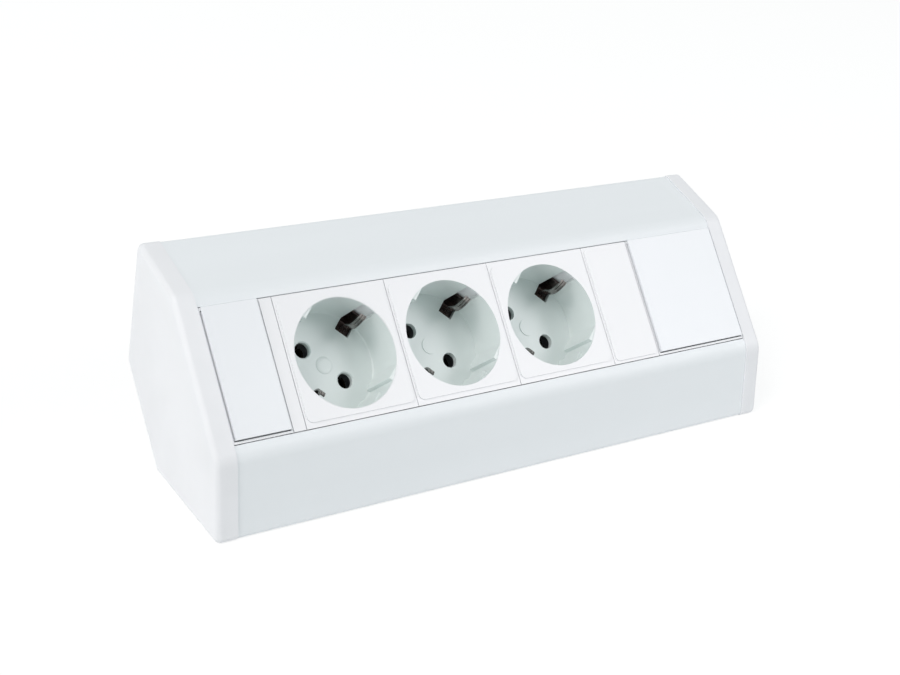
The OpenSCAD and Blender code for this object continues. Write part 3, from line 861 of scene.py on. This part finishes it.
@dataclass(frozen=True)
class EarthClip:
    """The earth strap of a socket: a bent bar and two sprung tongues, in millimetres."""

    bar_w: float = 5.4
    thick: float = 0.8
    bar_middle: float = -19.55
    bar_end: float = 20.25
    bar_top: float = -9.6
    bend: float = 1.0
    tongue_w: float = 2.4
    foot: tuple[float, float] = (16.8, -16.25)
    bow: tuple[float, float] = (14.6, -7.67)
    end: tuple[float, float] = (16.35, -2.9)
    tip: tuple[float, float] = (17.45, -2.4)
    bead_depth: float = 0.32
    post_r: float = 1.7
    post_low: float = -38.95

    def bar(self) -> bmesh.types.BMesh:
        """The bar that runs across under the floor and up into both grooves."""
        end, low, turn = self.bar_end, self.bar_middle, self.bend
        arc = [math.radians(90 * k / 6) for k in range(7)]
        half = [(end - turn + turn * math.sin(a), low + turn * (1 - math.cos(a))) for a in arc]
        half.append((end, self.bar_top))
        line = [(-x, z) for x, z in reversed(half)] + half
        return loft([self._section(line, i, self.bar_w, 0.0) for i in range(len(line))])

    def tongue(self) -> bmesh.types.BMesh:
        """A tongue that bows inwards, with two pressed grooves up to its tip."""
        line = [(self.foot[0], self.bar_middle + 0.1)]
        for k in range(13):
            fall = (1 - math.cos(math.pi * k / 12)) / 2
            line.append(self._between(self.foot, self.bow, fall, k / 12))
        for k in range(1, 13):
            line.append(self._between(self.bow, self.end, 1 - math.cos(math.pi * k / 24), k / 12))
        line.append(self.tip)
        last = len(line) - 1
        rings = []
        for i in range(last + 1):
            depth = self.bead_depth * min(1.0, max(0.0, (i - 13) / 4))
            rings.append(self._section(line, i, self.tongue_w, depth))
        return loft(rings)

    @staticmethod
    def _between(
        start: tuple[float, float], stop: tuple[float, float], across: float, up: float
    ) -> tuple[float, float]:
        """A place between two others, with its own share of the way across and up."""
        return (
            start[0] + (stop[0] - start[0]) * across,
            start[1] + (stop[1] - start[1]) * up,
        )

    def _section(
        self, line: Sequence[tuple[float, float]], i: int, width: float, bead: float
    ) -> Loop:
        """The strip's section at one place on its middle line.

        Args:
            line: The middle line, as (out, up).
            i: The place on the line.
            width: The strip's width.
            bead: The depth of the two grooves on its inner side.

        Returns:
            The section's ring of points.
        """
        ahead, behind = line[min(i + 1, len(line) - 1)], line[max(i - 1, 0)]
        run = Vector((ahead[0] - behind[0], ahead[1] - behind[1])).normalized()
        inner = Vector((-run.y, run.x)) * self.thick / 2
        half, soft = width / 2, 0.12
        across = [-half, -half + soft]
        depth = [1 - 2 * soft / self.thick, 1.0]
        for groove in (-0.22 * width, 0.22 * width):
            across += [groove - 0.11 * width, groove - 0.05 * width]
            across += [groove + 0.05 * width, groove + 0.11 * width]
            low = 1.0 - 2 * bead / self.thick
            depth += [1.0, low, low, 1.0]
        across += [half - soft, half, half, half - soft, -half + soft, -half]
        depth += [1.0, depth[0], -depth[0], -1.0, -1.0, -depth[0]]
        return [
            (line[i][0] + inner.x * d, y, line[i][1] + inner.y * d)
            for y, d in zip(across, depth)
        ]

    def build_bar(self, name: str, place: Matrix) -> bpy.types.Object:
        """Makes the bar with its post, in metres."""
        bar = solid(name, self.bar(), EARTH_SIDES[0].matrix())
        post = [(self.post_r, self.post_low), (self.post_r, self.bar_middle)]
        put_together(bar, [solid("post", turned(post, 32))], Cut.JOIN)
        bar.data.transform(place)
        return bar

    def build_tongues(self, name: str, place: Matrix) -> bpy.types.Object:
        """Makes both tongues, in metres."""
        pair = [solid("tongue", self.tongue(), side.matrix()) for side in EARTH_SIDES]
        both = put_together(pair[0], pair[1:], Cut.JOIN)
        both.name = name
        both.data.transform(place)
        return both


@dataclass
class SocketModule:
    """A round earthed socket: its face, earth strap, contacts, base and screws."""

    number: int
    shape: SocketShape = SocketShape()
    clip: EarthClip = EarthClip()
    screw: Screw = Screw(head_r=2.6, head_h=2.0, shank_r=1.45)

    def node(self, part: str) -> str:
        """The CAD node's name of one of this socket's parts."""
        return f"socket_{self.number}_{part}"

    def build(self) -> None:
        """Makes the socket's face, its earth strap and its screws."""
        place = FACE.place(self.node("face"))
        self.face = self._formed_face(place)
        self.bar = self.clip.build_bar(f"socket_{self.number}_earth_bar", place)
        self.tongues = self.clip.build_tongues(f"socket_{self.number}_earth_tongues", place)
        low, high = FACE.extent(self.node("screws"))
        across = high.y - low.y - 2 * self.screw.head_r
        rows = ScrewGrid((1, 2), (0.0, across), high.z - low.z - self.screw.head_h)
        middle = Matrix.Translation((0.0, 0.0, low.z + self.screw.head_h))
        name = f"socket_{self.number}_fixing_screws"
        self.screws = rows.build(name, self.screw, SCREW_ZINC, place @ middle)

    def _formed_face(self, place: Matrix) -> bpy.types.Object:
        """Forms the first face, and copies its mesh for the other sockets.

        Args:
            place: From millimetres about the face's middle to metres.

        Returns:
            The face's piece, in metres.
        """
        formed = bpy.data.meshes.get("formed_socket_face")
        if formed is None:
            piece = copy_of_node(self.node("face"), "formed_socket_face")
            piece.data.transform(place.inverted())
            self.shape.shape_face(piece)
            formed = piece.data
            formed.name = "formed_socket_face"
            formed.use_fake_user = True
            bpy.data.objects.remove(piece)
        face = link(f"socket_{self.number}_moulding", formed.copy())
        face.data.transform(place)
        ease_ends(face, self.node("face"))
        return face

    def dress(self) -> None:
        """Gives the socket's pieces their finishes."""
        finish_piece(self.face, self.node("face"), MODULE_PLASTIC, Edging(0.0, 2, 32.0))
        # The recess's sides take this second material, which paints the shade inside the recess.
        self.face.data.materials.append(RECESS_PAINTED_SHADE.make())
        back = FACE.place(self.node("face")).inverted()
        for side in self.face.data.polygons:
            side.material_index = int(self.shape.inside(back @ side.center))
        finish_piece(self.bar, self.node("earth_strap"), EARTH_BAR_PAINTED_SHADE, Edging(0.0, 2, 30.0))
        finish_piece(
            self.tongues, self.node("earth_strap"), EARTH_SPRING_STEEL, Edging(0.0, 2, 30.0)
        )
        finish_piece(self.screws, self.node("screws"), SCREW_ZINC, Edging(0.0, 2, 30.0))
        dress_node(self.node("base"), BASE_PLASTIC)
        dress_node(self.node("contacts"), CONTACT_PAINTED_SHADE)


@dataclass
class PlainModules:
    """The blank module and the narrow filler strip."""

    edge: float = 0.00006

    def build(self) -> None:
        """Makes both plates."""
        self.blank = copy_of_node("blank_module", "blank_plate")
        self.filler = copy_of_node("filler_strip", "filler_plate")
        ease_ends(self.blank, "blank_module")
        ease_ends(self.filler, "filler_strip")

    def dress(self) -> None:
        """Gives both plates their finish."""
        finish_piece(self.blank, "blank_module", MODULE_PLASTIC, Edging(self.edge, 2, 35.0))
        finish_piece(self.filler, "filler_strip", MODULE_PLASTIC, Edging(self.edge, 2, 35.0))


@dataclass
class KeyModule:
    """A push key in its frame, with the plunger and switch under it."""

    kind: str
    edge: float = 0.0002
    frame_edge: float = 0.00006

    def build(self) -> None:
        """Makes the key's plate, its frame and its return spring."""
        self.plate = copy_of_node(f"{self.kind}_key", f"{self.kind}_key_plate")
        self.frame = copy_of_node(f"{self.kind}_key_frame", f"{self.kind}_key_surround")
        ease_ends(self.frame, f"{self.kind}_key_frame")
        self.spring = copy_of_node(f"{self.kind}_return_spring", f"{self.kind}_return_coil")

    def dress(self) -> None:
        """Gives the key, its frame and the parts under it their finishes."""
        finish_piece(self.plate, f"{self.kind}_key", KEY_PLASTIC, Edging(self.edge, 3, 35.0))
        surround = Edging(self.frame_edge, 2, 35.0)
        finish_piece(self.frame, f"{self.kind}_key_frame", MODULE_PLASTIC, surround)
        dress_node(f"{self.kind}_plunger", KEY_PLASTIC)
        dress_node(f"{self.kind}_contact_bridge", CONTACT_PAINTED_SHADE)
        dress_node(f"{self.kind}_switch_body", BASE_PLASTIC)
        dress_node(f"{self.kind}_switch_contacts", CONTACT_PAINTED_SHADE)
        finish_piece(
            self.spring, f"{self.kind}_return_spring", SPRING_WIRE, Edging(0.0, 2, 60.0)
        )
        self._let_spring_shorten()

    def _let_spring_shorten(self) -> None:
        """Gives the spring its own copy of its mesh."""
        node, slide = f"{self.kind}_return_spring", f"{self.kind}_plunger_slide"
        low, high = FACE.extent(node)
        foot = FACE.place(node) @ Vector((0.0, 0.0, low.z))
        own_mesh(self.spring)


@dataclass
class Wiring:
    """The terminal block with its clamp screws, and the three wires."""

    screw: Screw = Screw(1.5, 0.0, 1.5, 0.6, 0.8, 0.12, 0.7)

    def build(self) -> None:
        """Makes the six clamp screws, slots up."""
        low, high = FACE.extent("terminal_screws")
        size = (high.x - low.x - 2 * self.screw.shank_r, high.y - low.y - 2 * self.screw.shank_r)
        rows = ScrewGrid((2, 3), size, high.z - low.z, seed=5)
        flip = Matrix.Translation((0.0, 0.0, high.z)) @ Matrix.Rotation(math.pi, 4, "X")
        place = FACE.place("terminal_screws") @ flip
        self.screws = rows.build("terminal_clamp_screws", self.screw, SCREW_ZINC, place)

    def dress(self) -> None:
        """Gives the block, its screws and the wires their finishes."""
        finish_piece(self.screws, "terminal_screws", SCREW_ZINC, Edging(0.0, 2, 30.0))
        dress_node("terminal_block", BLOCK_PLASTIC)
        dress_node("line_wire", LINE_SLEEVE)
        dress_node("neutral_wire", NEUTRAL_SLEEVE)
        dress_node("earth_wire", EARTH_SLEEVE)


# ---------------------------------------------------------------- studio


@dataclass(frozen=True)
class Lamp:
    """A square soft lamp that looks at the part."""

    name: str
    place: tuple[float, float, float]
    size: float
    watts: float
    tint: tuple[float, float, float] = (1.0, 1.0, 1.0)

    def hang(self) -> None:
        """Adds the lamp to the scene."""
        data = bpy.data.lights.new(self.name, "AREA")
        data.shape = "SQUARE"
        data.size = self.size
        data.energy = self.watts
        data.color = self.tint
        lamp = bpy.data.objects.new(self.name, data)
        bpy.context.scene.collection.objects.link(lamp)
        look = Vector((0.0, 0.0, 0.035)) - Vector(self.place)
        turn = look.to_track_quat("-Z", "Y").to_matrix().to_4x4()
        lamp.matrix_world = Matrix.Translation(self.place) @ turn


LAMPS = (
    Lamp("key_lamp", (-1.49, -0.17, 1.87), 1.0, 23.5, (1.0, 0.93, 0.93)),
    Lamp("right_lamp", (0.9, -0.8, 0.9), 0.7, 6.6, (1.0, 0.95, 0.98)),
    Lamp("side_lamp", (-1.7, -0.25, 0.45), 0.8, 5.2),
)


@dataclass
class Studio:
    """The camera, the pale floor and the soft light."""

    camera_place: tuple[float, float, float] = (-0.34637, -0.40919, 0.32323)
    aim: tuple[float, float, float] = (-0.0079, 0.00523, 0.03524)
    roll: float = 10.678
    lens: float = 65.24
    floor_size: float = 6.0
    floor_tone: float = 0.9
    floor_shade: float = 0.3
    floor_glow: float = 0.78
    room_strength: float = 0.36
    room_tint: tuple[float, float, float] = (0.86, 1.0, 0.985)
    lamps: Sequence[Lamp] = LAMPS

    def set_camera(self) -> None:
        """Places the camera at the front left, looking down and a little rolled."""
        data = bpy.data.cameras.new("camera")
        data.lens = self.lens
        data.sensor_width = 36.0
        data.clip_start = 0.01
        camera = bpy.data.objects.new("camera", data)
        bpy.context.scene.collection.objects.link(camera)
        look = Vector(self.aim) - Vector(self.camera_place)
        turn = look.to_track_quat("-Z", "Y").to_matrix().to_4x4()
        roll = Matrix.Rotation(math.radians(self.roll), 4, "Z")
        camera.matrix_world = Matrix.Translation(self.camera_place) @ turn @ roll
        bpy.context.scene.camera = camera

    def lay_floor(self) -> None:
        """Lays a plain pale floor that keeps a light shadow."""
        half = self.floor_size / 2
        mesh = bpy.data.meshes.new("floor")
        corners = [(-half, -half, 0), (half, -half, 0), (half, half, 0), (-half, half, 0)]
        mesh.from_pydata(corners, [], [(0, 1, 2, 3)])
        floor = link("floor", mesh)
        floor.data.materials.append(self._floor_paint())

    def _floor_paint(self) -> bpy.types.Material:
        """The floor's paint: white where it is seen, with the object's soft shadow.

        Returns:
            The material.
        """
        paint = bpy.data.materials.new("floor_paint")
        paint.use_nodes = True
        tree = paint.node_tree
        tree.nodes.clear()
        out = tree.nodes.new("ShaderNodeOutputMaterial")
        plain = tree.nodes.new("ShaderNodeBsdfDiffuse")
        plain.inputs["Color"].default_value = (self.floor_tone,) * 3 + (1.0,)
        shade = tree.nodes.new("ShaderNodeBsdfDiffuse")
        shade.inputs["Color"].default_value = (self.floor_shade,) * 3 + (1.0,)
        glow = tree.nodes.new("ShaderNodeEmission")
        glow.inputs["Strength"].default_value = self.floor_glow
        seen = tree.nodes.new("ShaderNodeAddShader")
        tree.links.new(shade.outputs[0], seen.inputs[0])
        tree.links.new(glow.outputs[0], seen.inputs[1])
        mix = tree.nodes.new("ShaderNodeMixShader")
        tree.links.new(self._looked_at(tree), mix.inputs[0])
        tree.links.new(plain.outputs[0], mix.inputs[1])
        tree.links.new(seen.outputs[0], mix.inputs[2])
        tree.links.new(mix.outputs[0], out.inputs[0])
        return paint

    @staticmethod
    def _looked_at(tree: bpy.types.NodeTree) -> bpy.types.NodeSocket:
        """A value of 1 for the camera's rays and for those that a mirror or glass passes on."""
        path = tree.nodes.new("ShaderNodeLightPath")
        total = path.outputs["Is Camera Ray"]
        for name in ("Is Glossy Ray", "Is Transmission Ray"):
            add = tree.nodes.new("ShaderNodeMath")
            add.operation = "MAXIMUM"
            tree.links.new(total, add.inputs[0])
            tree.links.new(path.outputs[name], add.inputs[1])
            total = add.outputs[0]
        return total

    def light_room(self) -> None:
        """Fills the room with even light, and hangs the soft lamps."""
        world = bpy.data.worlds.new("room")
        bpy.context.scene.world = world
        world.use_nodes = True
        tree = world.node_tree
        tree.nodes.clear()
        out = tree.nodes.new("ShaderNodeOutputWorld")
        lit = tree.nodes.new("ShaderNodeBackground")
        lit.inputs["Color"].default_value = (*self.room_tint, 1.0)
        lit.inputs["Strength"].default_value = self.room_strength
        seen = tree.nodes.new("ShaderNodeBackground")
        seen.inputs["Color"].default_value = (1.0, 1.0, 1.0, 1.0)
        mix = tree.nodes.new("ShaderNodeMixShader")
        tree.links.new(self._looked_at(tree), mix.inputs[0])
        tree.links.new(lit.outputs[0], mix.inputs[1])
        tree.links.new(seen.outputs[0], mix.inputs[2])
        tree.links.new(mix.outputs[0], out.inputs[0])
        for lamp in self.lamps:
            lamp.hang()


def main() -> None:
    """Builds and dresses every sub-assembly, and sets up the studio."""
    logging.basicConfig(level=logging.INFO, format="%(message)s")
    bpy.context.scene.view_settings.view_transform = "Standard"
    studio = Studio()
    studio.set_camera()
    studio.lay_floor()
    studio.light_room()
    housing = Housing()
    housing.build()
    housing.dress()
    for number in (1, 2, 3):
        socket = SocketModule(number)
        socket.build()
        socket.dress()
    plates = PlainModules()
    plates.build()
    plates.dress()
    for kind in ("narrow", "wide"):
        key = KeyModule(kind)
        key.build()
        key.dress()
    wiring = Wiring()
    wiring.build()
    wiring.dress()


if __name__ == "__main__":
    main()
